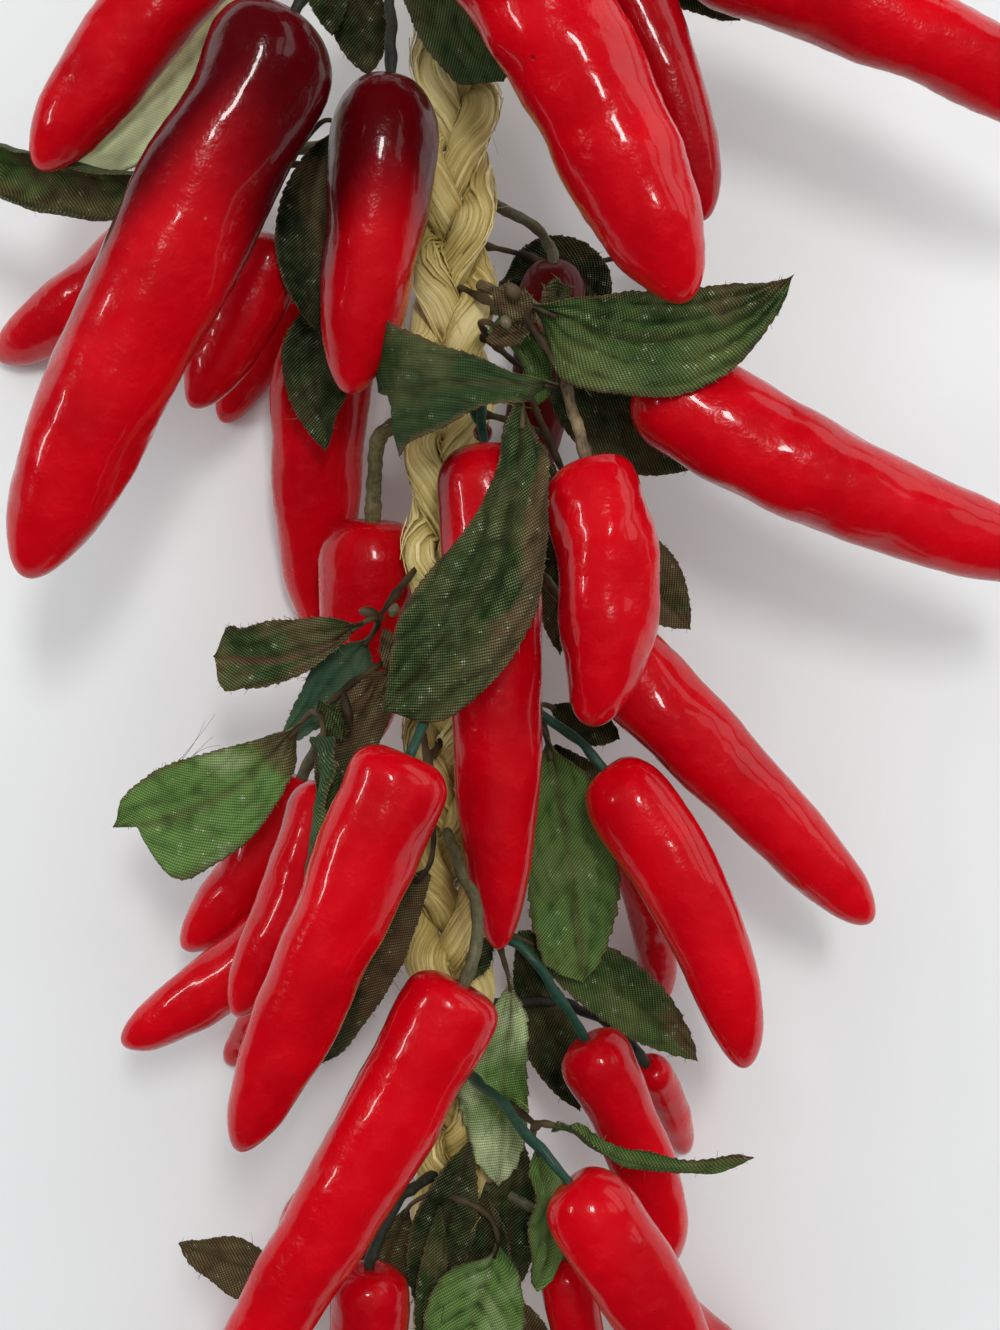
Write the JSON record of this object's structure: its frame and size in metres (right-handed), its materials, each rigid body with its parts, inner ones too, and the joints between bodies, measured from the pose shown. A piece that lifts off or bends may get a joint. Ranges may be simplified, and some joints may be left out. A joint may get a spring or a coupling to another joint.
{
  "type": "artificial chilli garland",
  "caption": "String of glossy artificial chillies and cloth leaves wired onto a braided raffia cord, with a loop to hang it up.",
  "frame": {"origin": "centre of the garland's footprint, at the level it lies on", "axes": "+Y along the braid towards the hanging loop, +Z out of the shown side, +X to the viewer's right"},
  "size_m": [0.2686, 0.4954, 0.1071],
  "materials": {
    "red_lacquer": "high gloss lacquer",
    "leaf_cloth": "woven cloth with brown edges",
    "raffia": "raw plant fibre"
  },
  "bodies": {
    "root": {"chilli_01": "red_lacquer", "chilli_02": "red_lacquer", "chilli_03": "red_lacquer", "chilli_04": "red_lacquer", "chilli_05": "red_lacquer", "chilli_06": "red_lacquer", "chilli_07": "red_lacquer", "chilli_08": "red_lacquer", "chilli_09": "red_lacquer", "chilli_10": "red_lacquer", "chilli_11": "red_lacquer", "chilli_12": "red_lacquer", "chilli_13": "red_lacquer", "chilli_14": "red_lacquer", "chilli_15": "red_lacquer", "chilli_16": "red_lacquer", "chilli_19": "red_lacquer", "chilli_20": "red_lacquer", "chilli_21": "red_lacquer", "chilli_22": "red_lacquer", "chilli_23": "red_lacquer", "chilli_24": "red_lacquer", "chilli_25": "red_lacquer", "chilli_26": "red_lacquer", "chilli_27": "red_lacquer", "chilli_28": "red_lacquer", "chilli_29": "red_lacquer", "chilli_30": "red_lacquer", "chilli_31": "red_lacquer", "chilli_32": "red_lacquer", "chilli_34": "red_lacquer", "chilli_35": "red_lacquer", "chilli_36": "red_lacquer", "chilli_37": "red_lacquer", "chilli_38": "red_lacquer", "chilli_39": "red_lacquer", "hanging_loop": "raffia", "spray_01": "leaf_cloth", "spray_02": "leaf_cloth", "spray_03": "leaf_cloth", "spray_04": "leaf_cloth", "spray_05": "leaf_cloth", "spray_06": "leaf_cloth", "spray_07": "leaf_cloth", "spray_08": "leaf_cloth", "spray_09": "leaf_cloth", "spray_10": "leaf_cloth", "spray_11": "leaf_cloth", "spray_12": "leaf_cloth", "spray_13": "leaf_cloth", "spray_14": "leaf_cloth", "spray_15": "leaf_cloth", "spray_16": "leaf_cloth", "spray_17": "leaf_cloth", "spray_18": "leaf_cloth", "strand_a": "raffia", "strand_b": "raffia", "strand_c": "raffia", "tie_foot": "raffia", "tie_top": "raffia"}
  },
  "joints": []
}
